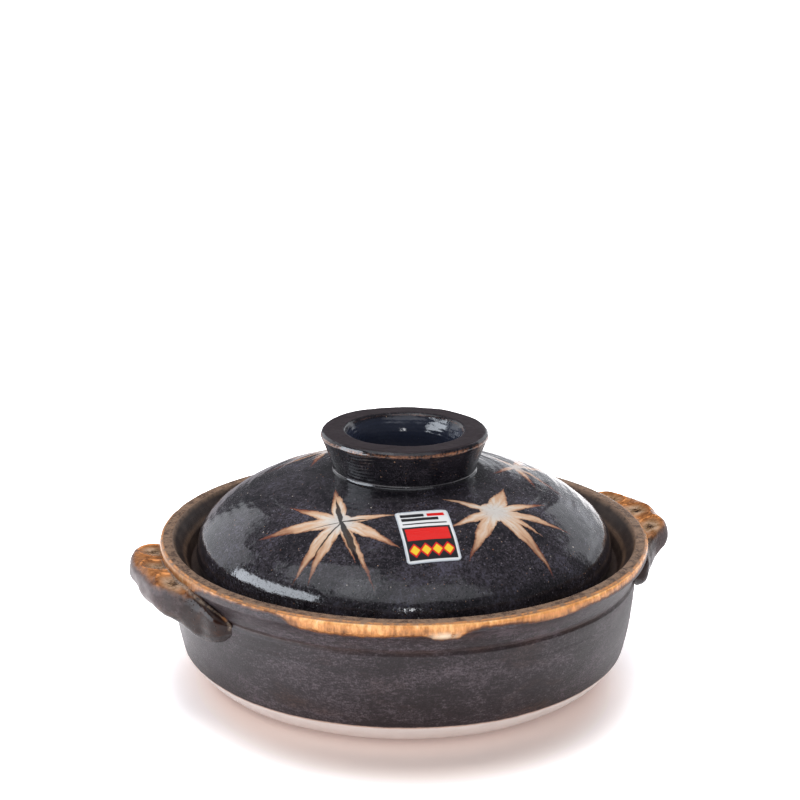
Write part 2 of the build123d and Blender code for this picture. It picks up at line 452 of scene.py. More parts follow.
def lid_shift(points):
    """Faint throwing rings and slow unevenness on the dome."""
    radius = np.hypot(points[..., 0], points[..., 1])
    rings = 0.04 * np.sin(tau * radius / 4.3 + 1.5 * waves(points, 60, 21))
    rings += 0.11 * np.sin(tau * radius / 12.5 + 1.2 * waves(points, 90, 22))
    slow = 0.20 * waves(points, 55, 23)
    return rings + slow + 0.03 * waves(points, 8, 24)


def make_lid():
    """The domed lid with its resting edge, and the steam hole cut through it."""
    inner_radius = lid_edge_radius - lid_rest_width
    outside = dome_profile(lid_radius, lid_height, 0.8)
    edge = rounded_outline([
        (*outside[-1], 0, 0, 0.6),
        (lid_edge_radius, ledge_height, lid_edge_round, 0, 1.4),
        (inner_radius, ledge_height, 0.6, 0, 1.4),
        (inner_radius, ledge_height + lid_edge_round * 2, 0, 0, 1),
    ])[1:]
    inside = dome_profile(inner_radius, lid_height - lid_wall, 3.0)[::-1]
    outline = np.concatenate([outside, edge, inside])[::-1]
    lid = mesh_of_rings("lid_dome", turned_grid(outline, lid_segments, lid_shift))
    cut_steam_hole(lid)
    return lid


def cut_steam_hole(lid):
    """Cuts the steam hole square to the dome, with a boolean that is applied at once."""
    radius = knob_radius + steam_hole_from_knob
    height = dome_height_at(radius)
    slope = atan2(dome_height_at(radius - 1) - dome_height_at(radius + 1), 2)
    turns = np.linspace(0, tau, 48, endpoint=False)
    flare = (
        (-14, 1.0), (-6.4, 1.0), (-5.6, 1.18), (-4.4, 1.0),
        (-1.6, 1.0), (-0.7, 1.05), (0.1, 1.2), (1.2, 1.5),
    )
    rings = []
    for depth, share in flare:
        ring = steam_hole_radius * share
        rings.append([(ring * cos(turn), ring * sin(turn), depth) for turn in turns])
    lean = Matrix.Rotation(slope, 3, "Y")
    spin = Matrix.Rotation(radians(steam_hole_azimuth), 3, "Z")
    seat = Vector((radius, 0, height))
    placed = [[tuple(spin @ (lean @ Vector(point) + seat)) for point in ring] for ring in rings]
    cutter = mesh_of_rings("steam_hole_cutter", np.array(placed))
    cut = lid.modifiers.new("steam_hole", "BOOLEAN")
    cut.object = cutter
    cut.operation = "DIFFERENCE"
    shape = bpy.data.meshes.new_from_object(lid.evaluated_get(bpy.context.evaluated_depsgraph_get()))
    lid.modifiers.clear()
    lid.data = shape
    shape.shade_smooth()
    shape.set_sharp_from_angle(angle=radians(50))
    bpy.data.objects.remove(cutter)


def knob_shift(points):
    """The ring's slow unevenness and the marks of turning it."""
    height = points[..., 2]
    turning = 0.05 * np.sin(tau * height / 1.9 + 1.5 * waves(points, 30, 31))
    return turning + 0.16 * waves(points, 26, 32) + 0.03 * waves(points, 5, 33)


def make_knob():
    """The open ring on the dome: a flared outer face, a flat top and a well with a rounded mouth."""
    neck_radius = knob_radius - knob_neck_set_in
    mouth_radius = knob_radius - knob_land
    well_radius = mouth_radius - knob_well_taper
    neck_bottom = dome_height_at(neck_radius) - knob_sink
    well_bottom = dome_height_at(well_radius) - knob_sink
    corners = [
        (well_radius, well_bottom, 0, 0, 1),
        (neck_radius + 1.5, neck_bottom, 0.3, 0, 0.5),
        (neck_radius + 0.2, neck_bottom + knob_sink + 1.2, 1.5, -knob_neck_hollow * 0.8, 0.5),
        (knob_radius, knob_top - knob_edge_height, 0.6, 0, 0.4),
        (knob_radius - 1.0, knob_top, knob_outer_round, 0, 0.5),
        (mouth_radius, knob_top, knob_inner_round, knob_well_bow, 0.7),
        (well_radius + 0.8, well_bottom + knob_sink + 1.5, 1.5, 0, 0.5),
        (well_radius - 1.2, well_bottom, 0, 0, 0.5),
    ]
    grid = turned_grid(rounded_outline(corners), knob_segments, knob_shift)
    return mesh_of_rings("knob_ring", grid, closed_loop=True)


def make_label():
    """The paper label, a rounded sheet that follows the dome, with its flat print coordinates as UVs."""
    columns, rows = 60, 84
    place_radius = (knob_radius + lid_radius) / 2 - label_shift_in
    slope = atan2(dome_height_at(place_radius - 1) - dome_height_at(place_radius + 1), 2)
    turn = Matrix.Rotation(radians(label_azimuth), 3, "Z")
    centre = turn @ Vector((place_radius, 0, dome_height_at(place_radius)))
    spin = turn @ Matrix.Rotation(slope, 3, "Y") @ Matrix.Rotation(radians(label_turn), 3, "Z")
    outward, right, upward = np.array(spin.col[2]), np.array(spin.col[1]), -np.array(spin.col[0])

    up = np.linspace(-0.5, 0.5, rows)[:, None] * label_length
    past = np.clip(np.abs(up) - (label_length / 2 - label_corner), 0, label_corner)
    narrowing = label_corner - np.sqrt(label_corner ** 2 - past ** 2)
    across = np.linspace(-0.5, 0.5, columns) * (label_width - 2 * narrowing)
    flat = np.stack([across, up + 0 * across], axis=-1).reshape(-1, 2)
    base = np.array(centre) + flat[:, :1] * right + flat[:, 1:] * upward
    drop = np.zeros((len(base), 1))
    for pull in range(12):
        place = base - drop * outward
        radius = np.hypot(place[:, 0], place[:, 1])
        drop[:, 0] += (place[:, 2] - dome_height_at(radius)) * outward[2]
    seat = base - drop * outward
    near_side = smooth_step(0.7, 1, np.abs(flat[:, 0]) / label_width * 2)
    curl = smooth_step(0.6, 1.0, waves(base, 30, 41)) * near_side
    lift = 0.12 * curl + lid_shift(seat)
    face = seat + (label_thickness + lift)[:, None] * outward
    points = np.concatenate([face, seat - label_thickness * outward])

    ids = np.arange(rows * columns).reshape(rows, columns)
    front = np.stack([ids[:-1, :-1], ids[:-1, 1:], ids[1:, 1:], ids[1:, :-1]], axis=-1).reshape(-1, 4)
    back = front[:, ::-1] + rows * columns
    border = np.concatenate([ids[0], ids[1:, -1], ids[-1, -2::-1], ids[-2:0:-1, 0]])
    beside = np.roll(border, -1)
    sides = np.stack([border, border + rows * columns, beside + rows * columns, beside], axis=-1)
    label = mesh_from("label_sheet", points, np.concatenate([front, back, sides]).tolist())
    sheet_uv = np.concatenate([flat, flat]) / (label_width, label_length) + 0.5
    layer = label.data.uv_layers.new(name="print")
    corners = np.zeros(len(label.data.loops), int)
    label.data.loops.foreach_get("vertex_index", corners)
    layer.data.foreach_set("uv", sheet_uv[corners].ravel())
    return label


# Materials

class Field:
    """A value in a material's node tree. Sums and products of fields add Math nodes."""

    def __init__(self, tree, socket):
        self.tree = tree
        self.socket = socket

    def math(self, operation, *others):
        """This field and others put through one Math node."""
        node = self.tree.nodes.new("ShaderNodeMath")
        node.operation = operation
        for slot, value in zip(node.inputs, (self, *others)):
            plug(self.tree, slot, value)
        return Field(self.tree, node.outputs[0])

    def __add__(self, other):
        return self.math("ADD", other)

    def __sub__(self, other):
        return self.math("SUBTRACT", other)

    def __mul__(self, other):
        return self.math("MULTIPLY", other)

    def __truediv__(self, other):
        return self.math("DIVIDE", other)

    def between(self, low, high):
        """0 at low and 1 at high, smooth between them; low may be the larger."""
        node = self.tree.nodes.new("ShaderNodeMapRange")
        node.interpolation_type = "SMOOTHSTEP"
        for name, value in (("Value", self), ("From Min", low), ("From Max", high)):
            plug(self.tree, node.inputs[name], value)
        return Field(self.tree, node.outputs["Result"])

    def hump(self, middle, half_width):
        """1 at the middle, 0 from half_width away on."""
        return (self - middle).math("ABSOLUTE").between(half_width, 0)

    def curve(self, points):
        """The value of a curve through the given points, each (place, value) from 0 to 1."""
        node = self.tree.nodes.new("ShaderNodeFloatCurve")
        line = node.mapping.curves[0]
        line.points[0].location = points[0]
        line.points[1].location = points[-1]
        for point in points[1:-1]:
            line.points.new(*point)
        node.mapping.update()
        plug(self.tree, node.inputs["Value"], self)
        return Field(self.tree, node.outputs["Value"])


def plug(tree, slot, value):
    """Feeds a socket with a field, a socket or a plain value."""
    if isinstance(value, Field):
        tree.links.new(value.socket, slot)
    elif isinstance(value, bpy.types.NodeSocket):
        tree.links.new(value, slot)
    elif isinstance(slot.default_value, float):
        slot.default_value = value
    else:
        slot.default_value = tuple(value) + (1.0,) * (len(slot.default_value) - len(value))


class Paint:
    """A material in the making, with the fields that its formulas start from."""

    def __init__(self, name):
        self.material = bpy.data.materials.new(name)
        self.material.use_nodes = True
        self.tree = self.material.node_tree
        self.shader = self.tree.nodes["Principled BSDF"]
        self.colour = None
        coordinates = self.tree.nodes.new("ShaderNodeTexCoord")
        self.place = self.scaled(coordinates.outputs["Object"], 1 / mm)
        parts = self.tree.nodes.new("ShaderNodeSeparateXYZ")
        plug(self.tree, parts.inputs[0], self.place)
        self.x, self.y, self.z = (Field(self.tree, socket) for socket in parts.outputs)
        self.radius = (self.x * self.x + self.y * self.y).math("SQRT")

    def scaled(self, vector, scale):
        """A vector times one factor or one for each axis."""
        node = self.tree.nodes.new("ShaderNodeVectorMath")
        node.operation = "MULTIPLY"
        plug(self.tree, node.inputs[0], vector)
        node.inputs[1].default_value = scale if isinstance(scale, tuple) else (scale,) * 3
        return node.outputs[0]

    def vector(self, x, y, z=0.0):
        """A vector of three fields or values."""
        node = self.tree.nodes.new("ShaderNodeCombineXYZ")
        for slot, value in zip(node.inputs, (x, y, z)):
            plug(self.tree, slot, value)
        return node.outputs[0]

    def azimuth(self):
        """Degrees round the Z axis, from -180 to 180."""
        return self.y.math("ARCTAN2", self.x) * degrees(1)

    def attribute(self, name):
        """A value that the mesh carries at its points."""
        node = self.tree.nodes.new("ShaderNodeAttribute")
        node.attribute_name = name
        return Field(self.tree, node.outputs["Fac"])

    def noise(self, size, detail=3.0, roughness=0.55, vector=None, distortion=0.0):
        """Cloudy noise from 0 to 1, its blotches about size millimetres wide."""
        node = self.tree.nodes.new("ShaderNodeTexNoise")
        plug(self.tree, node.inputs["Vector"], vector or self.place)
        node.inputs["Scale"].default_value = 1 / size
        node.inputs["Detail"].default_value = detail
        node.inputs["Roughness"].default_value = roughness
        node.inputs["Distortion"].default_value = distortion
        return Field(self.tree, node.outputs["Fac"])

    def specks(self, size, share):
        """Dots of up to size millimetres in a share of the cells, and a random value for each cell."""
        node = self.tree.nodes.new("ShaderNodeTexVoronoi")
        plug(self.tree, node.inputs["Vector"], self.place)
        node.inputs["Scale"].default_value = 1 / size
        pick = self.tree.nodes.new("ShaderNodeSeparateColor")
        self.tree.links.new(node.outputs["Color"], pick.inputs[0])
        chosen = Field(self.tree, pick.outputs[0]).math("LESS_THAN", share)
        reach = Field(self.tree, pick.outputs[1]) * 0.22 + 0.1
        dot = (Field(self.tree, node.outputs["Distance"]) / reach).between(1.0, 0.45)
        return dot * chosen, Field(self.tree, pick.outputs[2])

    def mix(self, share, below, above):
        """The colour below where share is 0, and above where it is 1."""
        node = self.tree.nodes.new("ShaderNodeMix")
        node.data_type = "RGBA"
        plug(self.tree, node.inputs[0], share)
        plug(self.tree, node.inputs[6], below)
        plug(self.tree, node.inputs[7], above)
        return node.outputs[2]

    def lay(self, share, tint):
        """Lays a colour over the material's own colour, as far as share says."""
        self.colour = self.mix(share, self.colour, tint)

    def blend(self, share, below, above):
        """A value between two values."""
        node = self.tree.nodes.new("ShaderNodeMix")
        plug(self.tree, node.inputs[0], share)
        plug(self.tree, node.inputs[2], below)
        plug(self.tree, node.inputs[3], above)
        return Field(self.tree, node.outputs[0])

    def tones(self, value, stops):
        """A colour ramp over (place, colour) stops."""
        node = self.tree.nodes.new("ShaderNodeValToRGB")
        ramp = node.color_ramp
        while len(ramp.elements) < len(stops):
            ramp.elements.new(0.5)
        for element, (position, colour) in zip(ramp.elements, stops):
            element.position = position
            element.color = (*colour, 1)
        plug(self.tree, node.inputs[0], value)
        return node.outputs[0]

    def finish(self, roughness, relief, specular):
        """Ties the colour, the roughness and the relief, in millimetres, to the shader."""
        plug(self.tree, self.shader.inputs["Base Color"], self.colour)
        plug(self.tree, self.shader.inputs["Roughness"], roughness)
        self.shader.inputs["Specular IOR Level"].default_value = specular
        bump = self.tree.nodes.new("ShaderNodeBump")
        bump.inputs["Distance"].default_value = mm
        bump.inputs["Strength"].default_value = 1.0
        plug(self.tree, bump.inputs["Height"], relief)
        self.tree.links.new(bump.outputs[0], self.shader.inputs["Normal"])
        return self.material


# Colours, linear
body_dark = (0.0135, 0.0090, 0.0104)
body_mid = (0.0240, 0.0170, 0.0200)
body_light = (0.090, 0.070, 0.081)
body_rust = (0.050, 0.023, 0.016)
amber_light = (0.95, 0.54, 0.225)
amber = (0.68, 0.29, 0.095)
amber_dark = (0.105, 0.038, 0.016)
amber_cream = (0.82, 0.66, 0.48)
rim_tan = (0.160, 0.104, 0.072)
rim_brown = (0.062, 0.040, 0.030)
clay_cream = (0.76, 0.67, 0.63)
clay_light = (0.86, 0.80, 0.77)
clay_orange = (0.42, 0.17, 0.075)
gallery_dark = (0.014, 0.009, 0.008)
gallery_mid = (0.026, 0.0175, 0.0145)
gallery_line = (0.055, 0.034, 0.023)
lid_black = (0.0065, 0.0060, 0.0085)
lid_brown = (0.026, 0.0225, 0.0275)
lid_purple = (0.060, 0.057, 0.080)
lid_blue = (0.022, 0.028, 0.050)
lid_grey = (0.125, 0.112, 0.130)
leaf_heart = (0.36, 0.37, 0.38)
leaf_pale = (0.47, 0.42, 0.37)
leaf_tan = (0.42, 0.27, 0.175)
leaf_brown = (0.22, 0.105, 0.060)
leaf_red = (0.12, 0.034, 0.020)
lug_light = (0.33, 0.145, 0.052)
lug_amber = (0.185, 0.072, 0.024)
lug_brown = (0.060, 0.022, 0.010)
lug_ridge = (0.56, 0.23, 0.075)
lug_grey = (0.048, 0.041, 0.042)
lug_dark = (0.018, 0.0082, 0.0068)
lug_cream = (0.31, 0.225, 0.160)
lug_olive = (0.135, 0.078, 0.038)
lug_under = (0.020, 0.016, 0.016)
paper_white = (0.47, 0.48, 0.49)
paper_edge = (0.34, 0.37, 0.41)
ink_black = (0.012, 0.012, 0.014)
ink_red = (0.43, 0.004, 0.003)
ink_yellow = (0.56, 0.39, 0.015)
shadow_warm = (0.85, 0.67, 0.57)


def body_glaze(paint):
    """Lays satin brown-black glaze with a purple bloom, brushed sideways, and gives its relief."""
    sideways = paint.scaled(paint.place, (1.0, 1.0, 2.6))
    clouds = paint.noise(30, 3, 0.6, sideways)
    mottle = paint.noise(2.6, 4, 0.75, sideways)
    grain = paint.noise(0.8, 3, 0.7)
    tone = clouds * 0.35 + mottle * 0.55 + grain * 0.45
    paint.colour = paint.tones(tone, ((0.57, body_dark), (0.68, body_mid), (0.81, body_light)))
    dots, dot_pick = paint.specks(1.5, 0.22)
    paint.lay(dots * dot_pick * 0.7, body_rust)
    rust = paint.noise(40, 2, 0.5, sideways).between(0.54, 0.70) * mottle.between(0.35, 0.65)
    paint.lay(rust * 0.7, body_rust)
    return grain * 0.16 + mottle * 0.12


def amber_glaze(paint, depth):
    """The glaze where it runs thin over an edge, from light amber to dark as depth goes from 0 to 1."""
    streaks = paint.noise(1.6, 3, 0.65, paint.scaled(paint.place, (1.0, 1.0, 0.25)))
    blotches = paint.noise(6, 3, 0.6)
    tone = depth * 0.50 + streaks * 0.75 + blotches * 0.80 - 0.38
    return paint.tones(tone, ((0.22, amber_cream), (0.38, amber_light), (0.60, amber), (1.0, amber_dark)))


# How far the amber runs down from the rim's top, over the azimuth from -180 to 180 degrees
amber_reach = 12.0
amber_reach_shares = (
    (0.0, 0.75), (0.045, 0.60), (0.07, 0.16), (0.117, 0.13), (0.126, 0.24), (0.136, 0.56), (0.15, 0.62),
    (0.185, 0.61), (0.207, 0.53), (0.219, 0.76), (0.232, 0.65), (0.244, 0.28), (0.272, 0.38), (0.293, 0.47),
    (0.322, 0.35), (0.361, 0.34), (0.42, 0.22), (0.455, 0.60), (0.545, 0.62), (0.58, 0.30), (0.66, 0.55),
    (0.74, 0.35), (0.82, 0.52), (0.90, 0.30), (0.95, 0.60), (1.0, 0.75),
)


def pot_material():
    """Body glaze, amber lip, tan rim top, brown gallery, bare clay foot."""
    paint = Paint("pot_glaze")
    relief = body_glaze(paint)
    azimuth = paint.azimuth()
    turn = azimuth / 360 + 0.5
    below_rim = paint.z * -1 + pot_height
    outside = paint.radius.between(belly_radius - 8, belly_radius - 6)
    outer_side = paint.radius.between(foot_radius + 1, foot_radius + 4)

    # The groove under the lip and the scratch below it hold browner glaze
    wander = paint.noise(30, 2, 0.5)
    groove = (paint.z + wander * 1.2 - 0.6).hump(groove_height, 2.4) * outside * wander.between(0.25, 0.6)
    paint.lay(groove * 0.5, body_rust)

    # Amber on the lip's face, with a dripping lower edge
    drip = paint.noise(4.2, 3, 0.65, paint.scaled(paint.place, (1.0, 1.0, 0.4)))
    reach = turn.curve(amber_reach_shares) * amber_reach + (drip - 0.5) * 2.6
    covered = (reach - below_rim).between(-0.25, 0.35) * outside
    amber_colour = amber_glaze(paint, (below_rim / reach).math("MAXIMUM", 0.0))
    drip_edge = (reach - below_rim).hump(0.1, 1.0) * outside
    paint.lay(covered, amber_colour)
    paint.lay(drip_edge * 0.85, amber_dark)
    cream = azimuth.hump(-100.5, 4.5) * below_rim.hump(6.6, 3.4) * drip.between(0.25, 0.5)
    paint.lay(cream * covered, amber_cream)
    glow = azimuth.hump(-77, 9) * below_rim.between(5.0, 2.0)
    paint.lay(glow * covered * 0.5, amber)

    beside_lugs = azimuth.math("ABSOLUTE").between(148, 162) + azimuth.hump(0, 34)
    paint.lay(beside_lugs * covered * 0.6, lug_amber)

    # The rim's flat top and inner slope
    top = below_rim.between(1.1, 0.5)
    rim_noise = paint.noise(3.5, 4, 0.75)
    rim_colour = paint.mix(rim_noise.between(0.38, 0.64), rim_tan, rim_brown)
    dots, dot_pick = paint.specks(0.9, 0.34)
    rim_colour = paint.mix(dots * dot_pick * 0.8, rim_colour, gallery_dark)
    paint.lay(top, rim_colour)
    edge = paint.radius.hump(rim_radius - 1.3, 1.1) * below_rim.between(2.0, 0.8)
    paint.lay(edge * rim_noise.between(0.38, 0.60) * 0.6, amber)

    # Inside the pot: within the middle of the wall, and from the ledge up within the rim's inner edge
    middle_of_wall = (inner_wall_radius + bare_clay_radius) / 2
    widened = paint.z.between(ledge_height - 3, ledge_height) * (rim_inner_radius - middle_of_wall)
    inside = (paint.radius - widened).between(middle_of_wall + 0.8, middle_of_wall - 0.6)
    inside = inside * paint.z.between(foot_recess + 2, foot_recess + 4)
    cloud = paint.noise(7, 4, 0.7)
    inner_colour = paint.mix(cloud.between(0.35, 0.7), gallery_dark, gallery_mid)
    line = below_rim.hump(glaze_break_drop - 1.4, 2.0) * cloud.between(0.25, 0.55)
    inner_colour = paint.mix(line, inner_colour, gallery_line)
    inner_edge = below_rim.between(2.6, 0.4) * rim_noise.between(0.25, 0.6)
    inner_colour = paint.mix(inner_edge * 0.6, inner_colour, rim_tan)
    paint.lay(inside, inner_colour)

    # Bare clay under the glaze's lower edge
    bite = (paint.noise(5, 3, 0.6) - 0.5) * 1.6
    glaze_line = bare_clay_height + 0.3
    clay = (paint.z + bite).between(glaze_line + 0.12, glaze_line - 0.12)
    clay = clay * paint.z.between(floor_thickness - 2, floor_thickness - 4).math("MAXIMUM", outer_side)
    clay_cloud = paint.noise(16, 4, 0.6)
    clay_colour = paint.mix(clay_cloud, clay_cream, clay_light)
    flash = (paint.z + bite * 0.6).between(glaze_line - 1.3, glaze_line)
    clay_colour = paint.mix(flash * 0.7, clay_colour, clay_orange)
    foot_line = (paint.z - 1.2).math("ABSOLUTE").between(1.6, 0.2)
    clay_colour = paint.mix(foot_line * 0.35, clay_colour, clay_orange)
    paint.lay(clay, clay_colour)

    pits = paint.noise(1.6, 2, 0.5).between(0.62, 0.75)
    roughness = paint.blend(clay, paint.blend(covered.math("MAXIMUM", top), 0.38, 0.20), 0.85)
    roughness = paint.blend(inside, roughness, 0.52)
    roughness = roughness + (paint.noise(6, 3, 0.6) - 0.5) * 0.10
    relief = relief * paint.blend(covered, 1.0, 0.5) - clay * 0.10 - pits * clay * 0.10
    return paint.finish(roughness, relief, specular=0.28)


def lug_material(side):
    """Amber lug glaze, pooled pale in the thumb marks, a painted grey reflection on the rolled edge, dark at
    the front end.
    """
    paint = Paint("lug_glaze_right" if side > 0 else "lug_glaze_left")
    outward, upward = paint.attribute("outward"), paint.attribute("upward")
    azimuth = paint.y.math("ARCTAN2", paint.x * side) * degrees(1)
    place = azimuth * -1 + lug_turned_back[side]
    cloud = paint.noise(6, 4, 0.65)
    fine = paint.noise(1.3, 3, 0.65)
    wobble = cloud - 0.5
    tone = cloud * 0.6 + fine * 0.4
    paint.colour = paint.tones(tone, ((0.36, lug_brown), (0.50, lug_amber), (0.70, lug_light)))

    nearest = None
    for thumb_place in thumb_places:
        along = (place - thumb_place) * (radians(1) * thumb_radius / thumb_half_length)
        across = (paint.radius - thumb_radius) / thumb_half_width
        distance = (along * along + across * across).math("SQRT")
        nearest = distance if nearest is None else nearest.math("MINIMUM", distance)
    nearest = nearest + wobble * 0.35
    pool = paint.mix(cloud.between(0.40, 0.62), lug_olive, lug_cream)
    paint.lay(nearest.between(0.95, 0.35) * 0.85, pool)
    crack = paint.noise(4.5, 2, 0.5, distortion=1.2).hump(0.5, 0.035) * nearest.between(0.50, 0.25)
    pit = nearest.between(0.34, 0.12) * fine.between(0.42, 0.58)
    paint.lay(crack.math("MAXIMUM", pit), lug_dark)
    ridge = nearest.hump(1.02, 0.12) * cloud.between(0.44, 0.56)
    paint.lay(ridge * 0.9, lug_ridge)

    # Painted reflection: grey laid on the rolled outer edge, standing in for the bright room that it mirrors
    edge = (outward + wobble * 0.4).between(0.70, 0.96) * place.between(-27, -14)
    painted_reflection_grey = paint.mix(fine.between(0.3, 0.75), lug_grey, body_light)
    paint.lay(edge * 0.9, painted_reflection_grey)
    below = (upward + wobble * 0.4).between(-0.25, -0.7)
    paint.lay(below, paint.mix(fine.between(0.3, 0.7), lug_under, lug_grey))

    # The dark end starts further back on the outside than beside the wall
    slanted = place + (paint.radius - belly_radius) * 0.55 + wobble * 3.0
    end = slanted.between(25.2, 26.6)
    front = end * upward.between(-0.75, -0.45)
    dark_colour = paint.mix(cloud.between(0.50, 0.80) * 0.6, lug_dark, lug_brown)
    # Painted reflection: on the outside of the front end, up to grey_end, the edge's grey is laid instead of
    # the dark
    grey_end = lug_reflection_end[side]
    still_reflection_grey = (place + wobble * 4).between(grey_end + 1, grey_end - 1) * outward.between(0.6, 0.9)
    dark_colour = paint.mix(still_reflection_grey, dark_colour, lug_grey)
    paint.lay(front, dark_colour)

    # The pale crease between the lug and the flaring wall, with an amber drop at its front end
    flare_slope = 0.554
    flare = (paint.z - (groove_height + groove_half_width)).math("MAXIMUM", 0.0) * flare_slope
    from_wall = paint.radius - flare.math("MINIMUM", lip_overhang) - belly_radius
    widening = place.hump(21, 12) * 0.9 + 0.8
    crease = ((from_wall + wobble * 0.6) / widening).hump(0.6, 1.1) * upward.between(-0.2, 0.2)
    crease_colour = paint.mix(fine.between(0.35, 0.7), lug_cream, lug_grey)
    paint.lay(crease * lug_crease[side], crease_colour)
    drop = place.hump(31, 1.0) * from_wall.between(1.8, 0.6) * upward.between(-0.5, 0.2)
    paint.lay(drop * 0.6, lug_ridge)
    roughness = paint.blend(front, paint.blend(edge, 0.20, 0.38), 0.06) + fine * 0.04
    dots = paint.specks(1.6, 0.75)[0]
    relief = cloud * 0.20 + fine * 0.12 + dots * front * 0.42 - crack * 0.35 - pit * 0.4
    return paint.finish(roughness, relief, specular=lug_shine[side])


def lobes_field(x, y, lobes):
    """How deep a point lies inside a leaf's lobes, in millimetres, negative outside.

    Each lobe is (direction in degrees, length, half width): full near its root, pointed at its tip."""
    depth = None
    for direction, length, half_width in lobes:
        turn = radians(direction)
        reached = x * (cos(turn) / length) + y * (sin(turn) / length)
        along = reached.math("MAXIMUM", 0.0).math("MINIMUM", 1.0)
        across = (y * cos(turn) - x * sin(turn)).math("ABSOLUTE")
        width = along.curve(lobe_width_shares) * half_width
        beyond = (reached - along).math("ABSOLUTE") * (2.0 * length)
        lobe = width - across - beyond
        depth = lobe if depth is None else depth.math("MAXIMUM", lobe)
    return depth


# A lobe's half width from its root to its tip, as shares of its length and greatest half width
lobe_width_shares = (
    (0.0, 0.55), (0.16, 0.88), (0.34, 1.0), (0.6, 0.66), (0.85, 0.24), (0.97, 0.06), (1.0, 0.0),
)

# The brushed leaves: centre in millimetres on the dome laid flat, radius of the web between the lobes,
# age towards red, strength of the brush, lobes as lobes_field says, and dark gaps shaped like lobes
leaves = (
    ((-49.3, -50.2), 6.0, 0.0, 1.0,
     ((78, 33, 3.6), (123, 34, 2.9), (157, 42, 4.3), (-147, 38, 4.4), (-135, 37, 3.6),
      (-94, 29, 2.3), (-87, 46, 2.0), (-55, 36, 3.9), (-10, 29, 2.6)),
     ((79, 23, 1.4), (-91, 38, 1.8), (-141, 34, 0.6), (-17, 19, 0.7), (168, 20, 0.35))),
    ((25.7, -61.2), 8.0, 0.0, 0.95,
     ((59, 27, 4.6), (149, 28, 2.3), (-159, 30, 3.0), (-128, 41, 4.0), (-64, 43, 4.2),
      (-40, 26, 2.6), (-14, 40, 2.9), (17, 33, 2.5)), ()),
    ((-26.0, 55.0), 3.0, 0.25, 0.9,
     ((-119, 38, 2.0), (-159, 47, 1.5), (60, 34, 3.0), (110, 36, 3.0), (160, 34, 2.2), (10, 30, 2.6)), ()),
    ((61.3, -1.9), 3.0, 0.25, 0.9,
     ((-138, 28, 2.0), (-104, 14, 1.6), (-94, 33, 2.0), (-70, 42, 1.4), (112, 23, 2.2), (60, 34, 2.6),
      (20, 36, 2.6)), ()),
)

# Specks in the lid's glaze: size in millimetres, share of the cells, colour and strength
lid_specks = (
    (0.9, 0.55, lid_grey, 1.0), (1.4, 0.22, lid_blue, 1.0), (1.6, 0.16, lid_grey, 1.0),
    (1.3, 0.07, leaf_brown, 1.0), (1.2, 0.04, leaf_tan, 0.9), (2.0, 0.04, leaf_pale, 0.7),
)


def lid_material():
    """Gloss black glaze full of fine specks, with brushed leaves in tan and cream."""
    paint = Paint("lid_glaze")
    clouds = paint.noise(22, 3, 0.6)
    mottle = paint.noise(2.4, 4, 0.75)
    fine = paint.noise(1.1, 3, 0.65)
    tone = clouds * 0.35 + mottle * 0.45 + fine * 0.45
    paint.colour = paint.tones(tone, ((0.54, lid_black), (0.66, lid_brown), (0.79, lid_purple)))
    for size, share, tint, strength in lid_specks:
        dots, dot_pick = paint.specks(size, share)
        paint.lay(dots * strength * dot_pick, tint)

    # The dome laid flat: the same azimuth, and the slant distance from its top as the radius
    fall = paint.z - lid_top
    slant = (paint.radius * paint.radius + fall * fall).math("SQRT") / paint.radius.math("MAXIMUM", 0.1)
    wander_x = (paint.noise(5, 2, 0.5) - 0.5) * 1.8
    wander_y = (paint.noise(5, 2, 0.5, paint.scaled(paint.place, (-1.0, 1.0, 1.0))) - 0.5) * 1.8
    flat_x = paint.x * slant + wander_x
    flat_y = paint.y * slant + wander_y
    outside = paint.z.between(ledge_height + 4, ledge_height + 6)
    for centre, web, age, strength, lobes, gaps in leaves:
        x = flat_x - centre[0]
        y = flat_y - centre[1]
        distance = (x * x + y * y).math("SQRT")
        angle = y.math("ARCTAN2", x)
        streaks = paint.noise(1.0, 3, 0.6, paint.vector(angle * 6, distance * 0.06, 0.0))
        depth = lobes_field(x, y, lobes).math("MAXIMUM", distance * -1 + web)
        ragged = depth + (fine - 0.5) * 1.1
        covered = ragged.between(-0.10, 0.40)
        burnt = distance * 0.019 + (streaks - 0.5) * 1.25 + ragged.between(1.5, 0.0) * 0.36 + age
        tint = paint.tones(burnt, ((0.05, leaf_pale), (0.38, leaf_tan), (0.72, leaf_brown), (1.0, leaf_red)))
        heart = distance.between(10, 3) * 0.55
        tint = paint.mix(heart, tint, leaf_heart)
        thin = (distance / 46).between(0.55, 1.05)
        worn = (fine * 0.5 + mottle * 0.5).between(0.30, 0.46) * 0.45 + 0.55
        opacity = paint.blend(thin, 1.0, 0.6) * worn * strength
        paint.lay(covered * opacity * outside, tint)
        if gaps:
            gap = lobes_field(x, y, gaps) + (fine - 0.5) * 0.5
            paint.lay(gap.between(-0.1, 0.3) * outside * 0.92, lid_black)

    swell = paint.noise(6, 2, 0.5)
    peel = paint.noise(1.9, 2, 0.5)
    pits = paint.noise(0.8, 2, 0.5).between(0.62, 0.78)
    roughness = fine * 0.07 + 0.055
    relief = swell * 0.20 + peel * 0.065 + fine * 0.035 - pits * 0.09
    return paint.finish(roughness, relief, specular=0.6)


